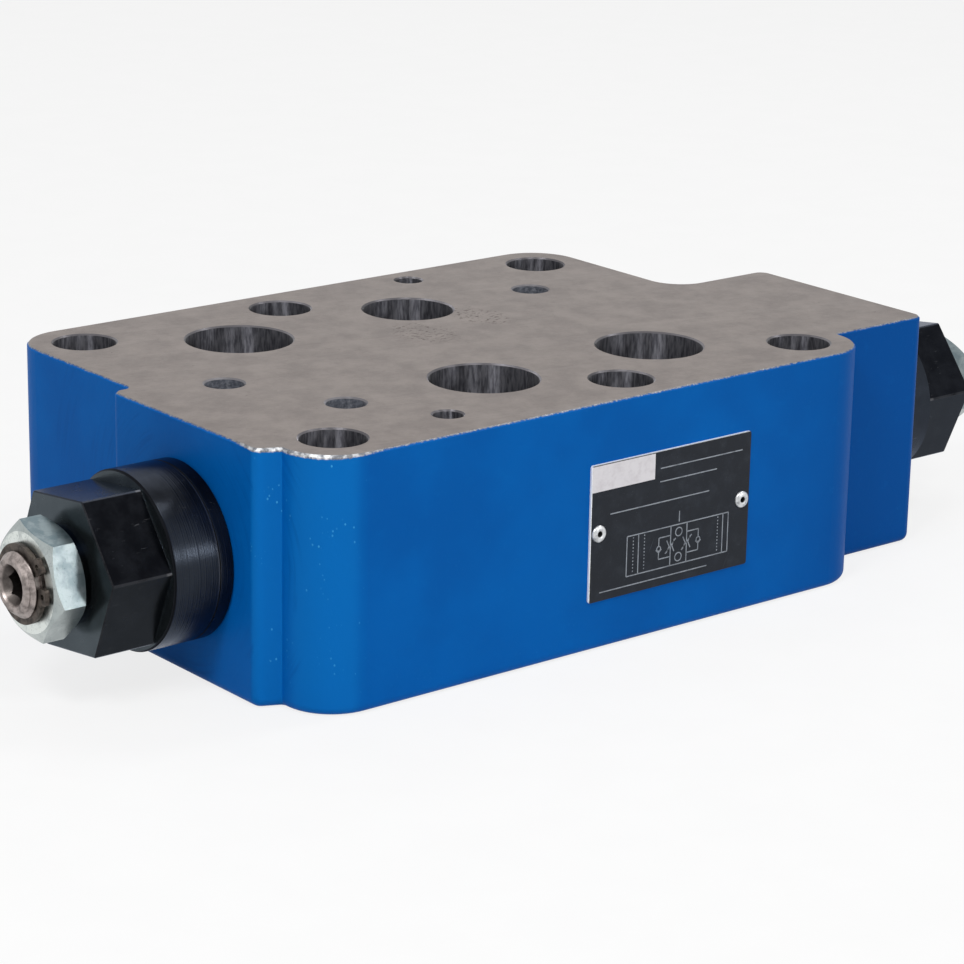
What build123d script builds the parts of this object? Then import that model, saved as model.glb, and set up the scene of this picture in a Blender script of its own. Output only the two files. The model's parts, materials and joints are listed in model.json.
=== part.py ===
from build123d import *
import math
import os

# Throttle non-return valve of sandwich plate form, in millimetres, +Z up.
# The origin is the centre of the fixing hole pattern, on the lower mounting face.
# The adjusters lie along X, one at each end, and share one axis at half height.

# Mounting pattern, seen from above
fix_spacing_x = 130.2
fix_spacing_y = 92.1
fix_hole_d = 14.0
port_pitch = 23.8
port_row_y = 28.55
port_d = 24.0
pressure_port_d = 21.0
pilot_d = 8.6
pilot_leak = (-59.5, 0.05)
pilot_x = (-47.6, -26.95)
pilot_y = (47.6, 27.05)
pin_hole_d = 6.5
pin_hole_depth = 12.0
pin_hole_back = (29.4, 50.85)
pin_hole_front = (-35.7, -46.05)

# Housing casting
plate_height = 55.0
ear_margin = 12.5
ear_corner_r = 12.0
flank_corner_r = 0.45
boss_proud = 4.9
adjuster_y = -17.5
boss_front_from_axis = 28.3
boss_back_from_axis = 26.2
boss_slant = 2.3
extension_corner_r = 2.8
boss_corner_r = 2.6
boss_notch_r = 1.6
extension_root_r = 8.0
lower_edge_r = 2.0
upper_edge_break = 0.5
hole_edge_break = 0.35

# Passages inside the casting
cartridge_bore_d = 22.0
thread_bore_d = 27.0
thread_bore_depth = 17.0
blind_wall = 19.8
chamber_d = 26.0
inlet_chamber = (42.0, 53.0)
outlet_chamber = (60.0, 82.0)
upper_port_floor = 20.0
lower_port_depth = 11.0
cast_channel_d = 9.6
cast_channel_z = 10.0
cast_channel_y = -33.0
cast_channel_from_face = 47.5
pilot_detour_y = -36.0
pilot_detour_z = 11.0

# Seal rings in the lower face
port_seal_bore = 27.0
pilot_seal_bore = 18.8
seal_section = 3.0
seal_recess = 2.4
seal_squeeze_gap = 0.1
seal_recess_play = 0.25

# End plug
flange_d = 38.0
flange_length = 14.4
flange_edge_break = 0.4
flange_line_from_face = 3.5
flange_line_width = 0.5
flange_line_depth = 0.25
plug_hex_af = 32.0
plug_hex_length = 14.1
hex_edge_break = 0.25
nut_boss_d = 20.6
nut_boss_height = 1.4
shank_length = 16.0
thread_play = 0.05
plug_seal_d = 31.2
plug_seal_width = 2.6
plug_seal_recess = 2.2
plug_seal_play = 0.1
screw_chamber_d = 17.2
screw_end_play = 0.3

# Setting screw, lock nut and retaining ring
screw_d = 14.0
screw_pitch = 1.5
screw_turns_out = 4.0
screw_tip_from_nut = 3.4
screw_tip_break = 1.5
socket_af = 6.0
socket_depth = 9.0
socket_mouth_d = 7.8
nut_af = 22.0
nut_height = 7.4
nut_face_share = 0.95
nut_chamfer_angle = 30.0
ring_from_nut = 0.5
ring_thickness = 1.0
ring_seat_d = 13.0
ring_outer_d = 16.6
ring_gap_width = 2.6
ring_lug_reach = 9.7
ring_lug_width = 3.4
ring_lug_corner_r = 0.5
ring_lug_hole_d = 1.2
ring_lug_spread = 20.5
ring_play = 0.05
piston_play = 0.05
piston_length = 9.0
piston_outer_face = 4.5
piston_seal_width = 2.4
piston_seal_section = 1.6
piston_seal_play = 0.03

# Spindle, spool, spring and seat
spindle_plate_d = 16.4
spindle_plate_length = 2.0
spindle_d = 6.0
spindle_overhang = 2.2
stop_ring_d = 8.4
stop_ring_thickness = 1.0
stop_groove_depth = 0.5
face_play = 0.05
spool_play = 0.03
spool_open_end = 27.5
spool_guide_end = 41.0
spool_nose_d = 17.6
spool_pocket_d = 15.2
spool_web = (46.0, 50.0)
spool_nose_pocket_d = 9.2
spool_stem_play = 0.05
spool_skirt_play = 0.15
spool_skirt_length = 3.0
metering_notch_width = 3.6
metering_notch_length = 2.4
metering_notch_count = 4
pilot_drilling_d = 2.5
pilot_drilling_count = 4
seat_ring = (53.5, 58.5)
seat_d = 15.0
seat_cone = 1.5
seat_press_gap = 0.02
cone_play = 0.1
spring_wire_d = 1.6
spring_mean_d = 12.4
spring_turns = 7

# Nameplate and its rivets, on the front flank
nameplate_width = 46.0
nameplate_height = 30.5
nameplate_thickness = 0.5
nameplate_corner_r = 0.6
nameplate_x = 15.8
nameplate_z = 26.6
rivet_inset = 2.3
rivet_head_d = 3.8
rivet_head_height = 0.7
rivet_shank_d = 2.4
rivet_shank_length = 5.0
rivet_eye_d = 1.4
rivet_eye_depth = 0.9
rivet_play = 0.05

# Angle of each hexagon about its axis, as the photograph shows it on the left
plug_hex_clock = {"left": 67.0, "right": 52.3}
nut_clock = {"left": 48.0, "right": 20.0}
ring_gap_clock = {"left": 17.5, "right": 100.0}

# What follows from the sizes above
fix_x = fix_spacing_x / 2
fix_y = fix_spacing_y / 2
edge_x = fix_x + ear_margin
edge_y = fix_y + ear_margin
middle_x = port_pitch / 2
axis_z = plate_height / 2
end_face_from_middle = middle_x + edge_x + boss_proud
left_face_x = middle_x - end_face_from_middle
right_face_x = middle_x + end_face_from_middle
boss_front_y = adjuster_y - boss_front_from_axis
boss_back_y = adjuster_y + boss_back_from_axis
port_t = (-1.5 * port_pitch, port_row_y)
port_p = (0.5 * port_pitch, port_row_y)
port_a = (-0.5 * port_pitch, -port_row_y)
port_b = (1.5 * port_pitch, -port_row_y)
inner_fix = [(-port_pitch / 2, fix_y), (port_pitch / 2, -fix_y)]
corner_fix = [(sx * fix_x, sy * fix_y) for sx in (-1, 1) for sy in (-1, 1)]
hex_face = flange_length + plug_hex_length
nut_seat = hex_face + nut_boss_height
nut_face = nut_seat + nut_height
ring_face = nut_face + ring_from_nut
screw_tip = nut_face + screw_tip_from_nut
piston_inner_face = piston_outer_face - piston_length
piston_d = screw_chamber_d - 2 * piston_play
plate_outer_face = piston_inner_face - face_play
plate_inner_face = plate_outer_face - spindle_plate_length
screw_travel = screw_pitch * screw_turns_out
screw_chamber_end = piston_outer_face + screw_travel + screw_end_play
bore_depth = end_face_from_middle - blind_wall / 2


def along(low, high, radius, x=0.0, y=0.0):
    """Cylinder along Z between two heights."""
    bottom = min(low, high)
    return Pos(x, y, bottom) * Cylinder(radius, abs(high - low), align=(Align.CENTER, Align.CENTER, Align.MIN))


def turned(points):
    """Solid of revolution about Z from (radius, height) corners."""
    profile = make_face(Polyline([(r, 0, z) for r, z in points], close=True))
    return revolve(profile, Axis.Z)


def between(start, end, radius):
    """Cylinder with round ends from one point to another."""
    run = Vector(*end) - Vector(*start)
    frame = Plane(origin=start, z_dir=run)
    rod = frame * Cylinder(radius, run.length, align=(Align.CENTER, Align.CENTER, Align.MIN))
    return rod + Pos(*start) * Sphere(radius) + Pos(*end) * Sphere(radius)


def oval_ring(mean_d, width, height, z):
    """Seal ring of oval section, squeezed as fitted."""
    section = Plane.XZ * Pos(mean_d / 2, z) * Ellipse(width / 2, height / 2)
    return revolve(section, Axis.Z)


def hexagon(across_flats, low, high, clock):
    """Hexagonal bar along Z."""
    shape = RegularPolygon(across_flats / 2, 6, major_radius=False, rotation=clock)
    return Pos(0, 0, low) * extrude(shape, high - low)


def seated(side, piece):
    """Puts a piece drawn along +Z, outward from the end face, on its end of the housing."""
    centre = (left_face_x if side == "left" else right_face_x, adjuster_y, axis_z)
    out = -1 if side == "left" else 1
    return Plane(origin=centre, x_dir=(0, out, 0), z_dir=(out, 0, 0)) * piece


# Housing

def outline_corners():
    """Corners of the plan view, each with its rounding radius."""
    return [
        (-edge_x, -edge_y, ear_corner_r),
        (edge_x, -edge_y, ear_corner_r),
        (edge_x, boss_front_y, flank_corner_r),
        (right_face_x, boss_front_y, extension_corner_r),
        (right_face_x, boss_back_y, extension_corner_r),
        (edge_x, boss_back_y, extension_root_r),
        (edge_x, edge_y, ear_corner_r),
        (-edge_x, edge_y, ear_corner_r),
        (-edge_x, boss_back_y, boss_notch_r),
        (left_face_x, boss_back_y, boss_corner_r),
        (left_face_x, boss_front_y + boss_slant, boss_corner_r),
        (-edge_x, boss_front_y, flank_corner_r),
    ]


def plan_outline():
    corners = outline_corners()
    shape = make_face(Polyline([(x, y) for x, y, r in corners], close=True))
    for x, y, radius in corners:
        shape = fillet(shape.vertices().sort_by_distance((x, y, 0))[0], radius)
    return shape


def casting():
    """The block with its rounded lower edge and ground upper edge."""
    block = extrude(plan_outline(), plate_height)
    block = fillet(block.faces().sort_by(Axis.Z)[0].edges(), lower_edge_r)
    return chamfer(block.faces().sort_by(Axis.Z)[-1].edges(), upper_edge_break)


def mouth(x, y, diameter, z, outward):
    """Small cone that breaks the edge of a hole in the upper or lower face."""
    wide = diameter / 2 + hole_edge_break
    cone = Cone(diameter / 2, wide, hole_edge_break)
    shift = z - outward * hole_edge_break / 2
    return Pos(x, y, shift) * (cone if outward > 0 else Rot(180, 0, 0) * cone)


def drilled(x, y, diameter, low, high):
    """A plain hole, with its edge broken where it meets a face."""
    cut = along(low, high, diameter / 2, x, y)
    if high >= plate_height:
        cut += mouth(x, y, diameter, plate_height, 1)
    if low <= 0:
        cut += mouth(x, y, diameter, 0, -1)
    return cut


def seal_recess_cut(x, y, seal_bore):
    outer = seal_bore / 2 + seal_section + seal_recess_play
    return along(0, seal_recess, outer, x, y)


def fixing_holes():
    return [drilled(x, y, fix_hole_d, 0, plate_height) for x, y in corner_fix + inner_fix]


def pin_holes():
    cuts = []
    for x, y in (pin_hole_back, pin_hole_front):
        cuts.append(drilled(x, y, pin_hole_d, plate_height - pin_hole_depth, plate_height))
        cuts.append(drilled(x, y, pin_hole_d, 0, pin_hole_depth))
    return cuts


def straight_ports():
    """Ports that pass straight through the plate."""
    cuts = [drilled(*port_t, port_d, 0, plate_height)]
    cuts.append(drilled(*port_p, pressure_port_d, 0, plate_height))
    cuts += [drilled(*place, pilot_d, 0, plate_height) for place in (pilot_leak, pilot_y)]
    return cuts


def detoured_pilot():
    """Pilot passage that steps forward to pass the left adjuster's bore."""
    x, y = pilot_x
    high = plate_height - pilot_detour_z
    radius = pilot_d / 2
    cuts = [drilled(x, y, pilot_d, high, plate_height), drilled(x, y, pilot_d, 0, pilot_detour_z)]
    cuts.append(between((x, y, high), (x, pilot_detour_y, high), radius))
    cuts.append(between((x, pilot_detour_y, high), (x, pilot_detour_y, pilot_detour_z), radius))
    cuts.append(between((x, pilot_detour_y, pilot_detour_z), (x, y, pilot_detour_z), radius))
    return cuts


def working_port(side):
    """Upper port into the inner chamber, lower port through a cast channel into the outer one."""
    x, y = port_a if side == "left" else port_b
    inward = 1 if side == "left" else -1
    link_x = (left_face_x if side == "left" else right_face_x) + inward * cast_channel_from_face
    corner = (link_x, cast_channel_y, cast_channel_z)
    cuts = [drilled(x, y, port_d, upper_port_floor, plate_height)]
    cuts.append(drilled(x, y, port_d, 0, lower_port_depth))
    cuts.append(between((x, cast_channel_y, cast_channel_z), corner, cast_channel_d / 2))
    cuts.append(between(corner, (link_x, adjuster_y, axis_z), cast_channel_d / 2))
    return cuts


def adjuster_bore(side):
    """Stepped bore for one adjuster, with its two chambers."""
    bore = along(-bore_depth, 0, cartridge_bore_d / 2)
    bore += along(-thread_bore_depth, 0, thread_bore_d / 2)
    for near, far in (inlet_chamber, outlet_chamber):
        bore += along(-far, -near, chamber_d / 2)
    return seated(side, bore)


def rivet_places():
    reach = nameplate_width / 2 - rivet_inset
    return [(nameplate_x - reach, nameplate_z), (nameplate_x + reach, nameplate_z)]


def rivet_hole(x, z, depth):
    hole = along(0, depth, rivet_shank_d / 2 + rivet_play)
    return Plane(origin=(x, -edge_y, z), z_dir=(0, 1, 0)) * hole


def valve_housing():
    body = casting()
    cuts = fixing_holes() + pin_holes() + straight_ports() + detoured_pilot()
    for side in ("left", "right"):
        cuts += working_port(side)
        cuts.append(adjuster_bore(side))
    cuts += [seal_recess_cut(*place, port_seal_bore) for place in (port_t, port_p, port_a, port_b)]
    cuts += [seal_recess_cut(*place, pilot_seal_bore) for place in (pilot_leak, pilot_x, pilot_y)]
    cuts += [rivet_hole(x, z, rivet_shank_length + rivet_play) for x, z in rivet_places()]
    for cut in cuts:
        body -= cut
    return body


# Seal rings in the lower face

def face_seals(places, seal_bore):
    height = seal_recess - seal_squeeze_gap
    ring = oval_ring(seal_bore + seal_section, seal_section, height, seal_recess - height / 2)
    return Compound([Pos(x, y, 0) * ring for x, y in places])


# End plug and its seal

def screw_passage():
    """Threaded hole for the setting screw, and the wider chamber behind it."""
    hole = along(screw_chamber_end, nut_seat, screw_d / 2 + thread_play)
    return hole + along(-shank_length, screw_chamber_end, screw_chamber_d / 2)


def flange_line():
    """Fine turned line around the flange."""
    low = flange_line_from_face - flange_line_width / 2
    high = flange_line_from_face + flange_line_width / 2
    return along(low, high, flange_d) - along(low, high, flange_d / 2 - flange_line_depth)


def end_plug(side):
    flange = chamfer(along(0, flange_length, flange_d / 2).edges().filter_by(GeomType.CIRCLE), flange_edge_break)
    grip = hexagon(plug_hex_af, flange_length, hex_face, plug_hex_clock[side])
    grip = chamfer(grip.edges(), hex_edge_break)
    plug = flange + grip + along(hex_face, nut_seat, nut_boss_d / 2)
    plug += along(-shank_length, 0, thread_bore_d / 2 - thread_play)
    plug -= flange_line()
    plug -= screw_passage()
    inner = plug_seal_d / 2 - plug_seal_width / 2 - plug_seal_play
    outer = plug_seal_d / 2 + plug_seal_width / 2 + plug_seal_play
    plug -= along(0, plug_seal_recess, outer) - along(0, plug_seal_recess, inner)
    return seated(side, plug)


def plug_seal(side):
    return seated(side, oval_ring(plug_seal_d, plug_seal_width, plug_seal_recess, plug_seal_recess / 2))


# Setting screw, lock nut and retaining ring

def setting_screw(side):
    r = screw_d / 2
    groove = (ring_face - ring_play, ring_face + ring_thickness + ring_play)
    seal_low = (piston_inner_face + piston_outer_face - piston_seal_width) / 2
    seal_floor = piston_d / 2 - piston_seal_section
    screw = turned([
        (0, piston_inner_face),
        (piston_d / 2, piston_inner_face),
        (piston_d / 2, seal_low),
        (seal_floor, seal_low),
        (seal_floor, seal_low + piston_seal_width),
        (piston_d / 2, seal_low + piston_seal_width),
        (piston_d / 2, piston_outer_face),
        (r, piston_outer_face),
        (r, groove[0]),
        (ring_seat_d / 2, groove[0]),
        (ring_seat_d / 2, groove[1]),
        (r, groove[1]),
        (r, screw_tip - screw_tip_break),
        (r - screw_tip_break, screw_tip),
        (0, screw_tip),
    ])
    screw -= hexagon(socket_af, screw_tip - socket_depth, screw_tip, nut_clock[side])
    mouth_depth = (socket_mouth_d - socket_af) / 2
    screw -= Pos(0, 0, screw_tip - mouth_depth / 2) * Cone(socket_af / 2, socket_mouth_d / 2, mouth_depth)
    return seated(side, screw)


def screw_seal(side):
    middle = (piston_inner_face + piston_outer_face) / 2
    section = piston_seal_section - piston_seal_play
    return seated(side, oval_ring(piston_d - section - piston_seal_play, section, section, middle))


def lock_nut(side):
    corner = nut_af / math.sqrt(3)
    face = nut_af / 2 * nut_face_share
    drop = (corner - face) * math.tan(math.radians(nut_chamfer_angle))
    envelope = turned([
        (0, nut_seat),
        (face, nut_seat),
        (corner, nut_seat + drop),
        (corner, nut_face - drop),
        (face, nut_face),
        (0, nut_face),
    ])
    nut = hexagon(nut_af, nut_seat, nut_face, nut_clock[side]) & envelope
    nut -= along(nut_seat, nut_face, screw_d / 2 + thread_play)
    lead = Pos(0, 0, nut_face - screw_tip_break / 4) * Cone(screw_d / 2, screw_d / 2 + screw_tip_break / 2, screw_tip_break / 2)
    return seated(side, nut - lead)


def retaining_ring(side):
    """Open snap ring with two eyed lugs."""
    reach = ring_outer_d / 2
    lug_length = ring_lug_reach - ring_seat_d / 2
    lug = Pos(ring_lug_reach - lug_length / 2, 0) * RectangleRounded(lug_length, ring_lug_width, ring_lug_corner_r)
    eye = Pos((reach + ring_lug_reach) / 2 - ring_lug_hole_d / 3, 0) * Circle(ring_lug_hole_d / 2)
    flat = Circle(reach)
    for turn in (-ring_lug_spread, ring_lug_spread):
        flat += Rot(0, 0, turn) * lug
        flat -= Rot(0, 0, turn) * eye
    flat -= Circle(ring_seat_d / 2 + ring_play)
    flat -= Pos(reach, 0) * Rectangle(reach, ring_gap_width)
    ring = Pos(0, 0, ring_face) * extrude(flat, ring_thickness)
    return seated(side, Rot(0, 0, ring_gap_clock[side]) * ring)


# Spindle that the setting screw moves, and the ring that stops the spool

def stop_faces():
    web_end = -spool_web[1]
    return web_end - face_play - stop_ring_thickness, web_end - face_play


def stop_spindle(side):
    low, high = stop_faces()
    r = spindle_d / 2
    spindle = turned([
        (0, plate_outer_face),
        (spindle_plate_d / 2, plate_outer_face),
        (spindle_plate_d / 2, plate_inner_face),
        (r, plate_inner_face),
        (r, high),
        (r - stop_groove_depth, high),
        (r - stop_groove_depth, low),
        (r, low),
        (r, low - spindle_overhang),
        (0, low - spindle_overhang),
    ])
    return seated(side, spindle)


def stop_ring(side):
    low, high = stop_faces()
    bore = spindle_d / 2 - stop_groove_depth
    return seated(side, along(low, high, stop_ring_d / 2) - along(low, high, bore))


# Spool with its seating cone, spring and seat ring

def cone_height(radius):
    """Height at which the spool's seating cone has this radius."""
    return -seat_ring[0] - seat_cone + radius - seat_d / 2 + cone_play


def metering_notch(skirt_end, reach):
    """Triangular window through the skirt, open at its free end."""
    half = metering_notch_width / 2
    corners = [(-half, skirt_end), (half, skirt_end), (0, skirt_end + metering_notch_length)]
    window = extrude(make_face(Polyline(corners, close=True)), reach)
    return Plane(origin=(0, 0, 0), x_dir=(0, 1, 0), z_dir=(1, 0, 0)) * window


def throttle_spool(side):
    guide_r = cartridge_bore_d / 2 - spool_play
    nose_r = spool_nose_d / 2
    skirt_r = seat_d / 2 - spool_skirt_play
    skirt_end = cone_height(skirt_r) - spool_skirt_length
    pocket_r = spool_pocket_d / 2
    stem_r = spindle_d / 2 + spool_stem_play
    spool = turned([
        (pocket_r, -spool_open_end),
        (guide_r, -spool_open_end),
        (guide_r, -spool_guide_end),
        (nose_r, -spool_guide_end),
        (nose_r, cone_height(nose_r)),
        (skirt_r, cone_height(skirt_r)),
        (skirt_r, skirt_end),
        (spool_nose_pocket_d / 2, skirt_end),
        (spool_nose_pocket_d / 2, -spool_web[1]),
        (stem_r, -spool_web[1]),
        (stem_r, -spool_web[0]),
        (pocket_r, -spool_web[0]),
    ])
    height = -(spool_guide_end + spool_web[0]) / 2
    for index in range(pilot_drilling_count):
        drilling = Rot(0, 90, 0) * along(0, guide_r, pilot_drilling_d / 2)
        spool -= Pos(0, 0, height) * Rot(0, 0, index * 360 / pilot_drilling_count) * drilling
    notch = metering_notch(skirt_end, skirt_r)
    for index in range(metering_notch_count):
        spool -= Rot(0, 0, (index + 0.5) * 360 / metering_notch_count) * notch
    return seated(side, spool)


def spool_spring(side):
    low = -spool_web[0] + spring_wire_d / 2
    length = plate_inner_face - spring_wire_d / 2 - low
    path = Pos(0, 0, low) * Helix(length / spring_turns, length, spring_mean_d / 2)
    start = Plane(origin=path @ 0, z_dir=path % 0)
    return seated(side, sweep(start * Circle(spring_wire_d / 2), path, is_frenet=True))


def seat_bush(side):
    near, far = seat_ring
    outer = cartridge_bore_d / 2 - seat_press_gap
    ring = turned([
        (seat_d / 2 + seat_cone, -near),
        (outer, -near),
        (outer, -far),
        (seat_d / 2, -far),
        (seat_d / 2, -near - seat_cone),
    ])
    return seated(side, ring)


# Nameplate and rivets

def nameplate():
    plate = extrude(RectangleRounded(nameplate_width, nameplate_height, nameplate_corner_r), nameplate_thickness)
    plate = Plane(origin=(nameplate_x, -edge_y, nameplate_z), x_dir=(1, 0, 0), z_dir=(0, -1, 0)) * plate
    for x, z in rivet_places():
        hole = along(0, nameplate_thickness, rivet_shank_d / 2 + rivet_play)
        plate -= Plane(origin=(x, -edge_y, z), z_dir=(0, -1, 0)) * hole
    return plate


def plate_rivets():
    top = nameplate_thickness + rivet_head_height
    head_r = rivet_head_d / 2
    shank_r = rivet_shank_d / 2
    rivet = turned([
        (0, -rivet_shank_length),
        (shank_r, -rivet_shank_length),
        (shank_r, nameplate_thickness),
        (head_r, nameplate_thickness),
        (head_r, nameplate_thickness + rivet_head_height / 3),
        (head_r - rivet_head_height / 2, top),
        (0, top),
    ])
    rivet -= along(top - rivet_eye_depth, top, rivet_eye_d / 2)
    places = rivet_places()
    return Compound([Plane(origin=(x, -edge_y, z), z_dir=(0, -1, 0)) * rivet for x, z in places])


per_side = {
    "end_plug": end_plug,
    "plug_seal": plug_seal,
    "setting_screw": setting_screw,
    "screw_seal": screw_seal,
    "lock_nut": lock_nut,
    "retaining_ring": retaining_ring,
    "stop_spindle": stop_spindle,
    "stop_ring": stop_ring,
    "throttle_spool": throttle_spool,
    "spool_spring": spool_spring,
    "seat_ring": seat_bush,
}


def all_pieces():
    pieces = {
        "valve_housing": valve_housing(),
        "port_seals": face_seals((port_t, port_p, port_a, port_b), port_seal_bore),
        "pilot_port_seals": face_seals((pilot_leak, pilot_x, pilot_y), pilot_seal_bore),
        "nameplate": nameplate(),
        "nameplate_rivets": plate_rivets(),
    }
    for side in ("left", "right"):
        for name, make in per_side.items():
            pieces[side + "_" + name] = make(side)
    return pieces


os.makedirs("parts", exist_ok=True)
for node, piece in all_pieces().items():
    export_step(piece, "parts/" + node + ".step")
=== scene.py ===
import json
import math
import bmesh
import bpy
from mathutils import Matrix, Vector


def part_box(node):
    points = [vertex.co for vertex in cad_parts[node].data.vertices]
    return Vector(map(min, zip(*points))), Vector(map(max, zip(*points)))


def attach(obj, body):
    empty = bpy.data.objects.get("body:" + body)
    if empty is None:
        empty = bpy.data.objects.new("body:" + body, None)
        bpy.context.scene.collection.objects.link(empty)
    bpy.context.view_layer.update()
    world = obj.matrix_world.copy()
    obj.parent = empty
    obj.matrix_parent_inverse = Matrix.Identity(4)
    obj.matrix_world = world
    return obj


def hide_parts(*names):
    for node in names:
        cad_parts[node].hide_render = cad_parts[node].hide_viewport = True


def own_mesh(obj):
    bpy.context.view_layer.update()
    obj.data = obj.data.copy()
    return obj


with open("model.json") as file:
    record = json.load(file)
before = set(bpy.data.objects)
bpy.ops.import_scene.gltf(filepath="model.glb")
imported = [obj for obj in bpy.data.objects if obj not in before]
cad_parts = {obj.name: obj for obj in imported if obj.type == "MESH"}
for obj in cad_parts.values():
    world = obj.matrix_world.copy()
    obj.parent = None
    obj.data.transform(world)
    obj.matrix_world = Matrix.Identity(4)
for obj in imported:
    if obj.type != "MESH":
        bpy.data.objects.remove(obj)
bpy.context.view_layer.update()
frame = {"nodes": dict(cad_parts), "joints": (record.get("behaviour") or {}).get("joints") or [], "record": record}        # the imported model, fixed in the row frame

mm = 0.001        # one millimetre, in the scene's metres


# A colour as a screen shows it, 0 to 255, in the shader's own numbers
def linear(red, green, blue):
    parts = [value / 255 for value in (red, green, blue)]
    return tuple(p / 12.92 if p < 0.04045 else ((p + 0.055) / 1.055) ** 2.4 for p in parts) + (1.0,)


# Shader tools: a signal is one socket, and its operators add Math nodes

class Signal:
    def __init__(self, graph, socket):
        self.graph = graph
        self.socket = socket

    def join(self, operation, *others):
        return self.graph.maths(operation, self, *others)

    def __add__(self, other):
        return self.join("ADD", other)

    def __sub__(self, other):
        return self.join("SUBTRACT", other)

    def __rsub__(self, other):
        return self.graph.maths("SUBTRACT", other, self)

    def __mul__(self, other):
        return self.join("MULTIPLY", other)

    def __truediv__(self, other):
        return self.join("DIVIDE", other)

    def __rtruediv__(self, other):
        return self.graph.maths("DIVIDE", other, self)

    def __pow__(self, other):
        return self.join("POWER", other)

    def __abs__(self):
        return self.join("ABSOLUTE")

    def __neg__(self):
        return self * -1.0

    __radd__ = __add__
    __rmul__ = __mul__

    def atLeast(self, other):
        return self.join("MAXIMUM", other)

    def atMost(self, other):
        return self.join("MINIMUM", other)

    def others(self, *names):        # further outputs of the same node
        return [Signal(self.graph, self.socket.node.outputs[name]) for name in names]


class Graph:        # a node tree, with one call that adds any node
    def __init__(self, tree):
        self.tree = tree
        self.tree.nodes.clear()

    def find(self, sockets, key):        # by identifier first, since Mix repeats its names
        for socket in sockets:
            if socket.identifier == key:
                return socket
        return sockets[key]

    def node(self, kind, settings=None, sockets=None, give=0):
        made = self.tree.nodes.new(kind)
        for key, value in (settings or {}).items():
            setattr(made, key, value)
        for key, value in (sockets or {}).items():
            socket = self.find(made.inputs, key)
            if isinstance(value, Signal):
                self.tree.links.new(value.socket, socket)
            else:
                socket.default_value = value
        return Signal(self, self.find(made.outputs, give)) if made.outputs else None

    def maths(self, operation, *values):
        return self.node("ShaderNodeMath", {"operation": operation}, dict(enumerate(values)))

    def parts(self, vector):
        return self.node("ShaderNodeSeparateXYZ", None, {0: vector}).others("X", "Y", "Z")

    def vector(self, x, y, z):
        return self.node("ShaderNodeCombineXYZ", None, {0: x, 1: y, 2: z})

    def scaled(self, vector, factors):
        return self.node("ShaderNodeVectorMath", {"operation": "MULTIPLY"}, {0: vector, 1: factors})

    def noise(self, vector, scale, detail=3.0, roughness=0.55):
        sockets = {"Vector": vector, "Scale": scale, "Detail": detail, "Roughness": roughness}
        return self.node("ShaderNodeTexNoise", None, sockets)

    def cells(self, vector, scale):
        return self.node("ShaderNodeTexVoronoi", None, {"Vector": vector, "Scale": scale})

    def step(self, value, low, high):        # 0 below low, 1 above high, smooth between
        sockets = {"Value": value, "From Min": low, "From Max": high}
        return self.node("ShaderNodeMapRange", {"interpolation_type": "SMOOTHSTEP"}, sockets)

    def blend(self, factor, first, second):
        sockets = {"Factor_Float": factor, "A_Color": first, "B_Color": second}
        return self.node("ShaderNodeMix", {"data_type": "RGBA"}, sockets, "Result_Color")

    def bump(self, height, distance, strength=1.0):        # distance in millimetres
        sockets = {"Height": height, "Distance": distance * mm, "Strength": strength}
        return self.node("ShaderNodeBump", None, sockets)


class Finish(Graph):        # a material with one Principled shader, and coordinates in millimetres
    def __init__(self, name):
        self.material = bpy.data.materials.new(name)
        self.material.use_nodes = True
        super().__init__(self.material.node_tree)
        place, normal = self.node("ShaderNodeTexCoord").others("Object", "Normal")
        self.point = self.scaled(place, (1 / mm, 1 / mm, 1 / mm))
        self.x, self.y, self.z = self.parts(self.point)
        self.nx, self.ny, self.nz = self.parts(normal)

    def shader(self, **inputs):
        names = {
            "colour": "Base Color",
            "rough": "Roughness",
            "metal": "Metallic",
            "normal": "Normal",
            "specular": "Specular IOR Level",
            "tint": "Specular Tint",
            "density": "IOR",
            "drawn": "Anisotropic",
            "turn": "Anisotropic Rotation",
        }
        sockets = {names[key]: value for key, value in inputs.items()}
        return self.node("ShaderNodeBsdfPrincipled", None, sockets)

    def surface(self, **inputs):
        return self.wear(self.shader(**inputs))

    def wear(self, shader):
        self.node("ShaderNodeOutputMaterial", None, {"Surface": shader})
        return self.material

    def fromAxis(self):        # distance from the adjusters' common axis
        return ((self.y - axisY) ** 2.0 + (self.z - axisZ) ** 2.0) ** 0.5

    def beyondEnd(self):        # distance outward from the housing's end face, on either side
        return (self.x - housingHigh.x / mm).atLeast(housingLow.x / mm - self.x)


# Where things are, read from the frame

def centreOf(node):
    low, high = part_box(node)
    return (low + high) / 2


sides = {"left": -1, "right": 1}
housingLow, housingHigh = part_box("valve_housing")
axisPoint = centreOf("left_lock_nut")
axisY = axisPoint.y / mm
axisZ = axisPoint.z / mm
tipX = {"left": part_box("left_setting_screw")[0].x / mm, "right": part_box("right_setting_screw")[1].x / mm}
plateLow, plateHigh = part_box("nameplate")


# A point about an adjuster's axis, so deep inward from its screw's tip
def onAxis(side, radius, angle, depth):
    out = sides[side]
    x = tipX[side] - out * depth
    y = axisY + out * radius * math.cos(angle)
    z = axisZ + radius * math.sin(angle)
    return (x * mm, y * mm, z * mm)


def addPiece(name, points, faces, material, body, smooth=True):
    mesh = bpy.data.meshes.new(name)
    mesh.from_pydata(points, [], faces)
    mesh.materials.append(material)
    for polygon in mesh.polygons:
        polygon.use_smooth = smooth
    piece = bpy.data.objects.new(name, mesh)
    bpy.context.scene.collection.objects.link(piece)
    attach(piece, body)
    return piece


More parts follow.
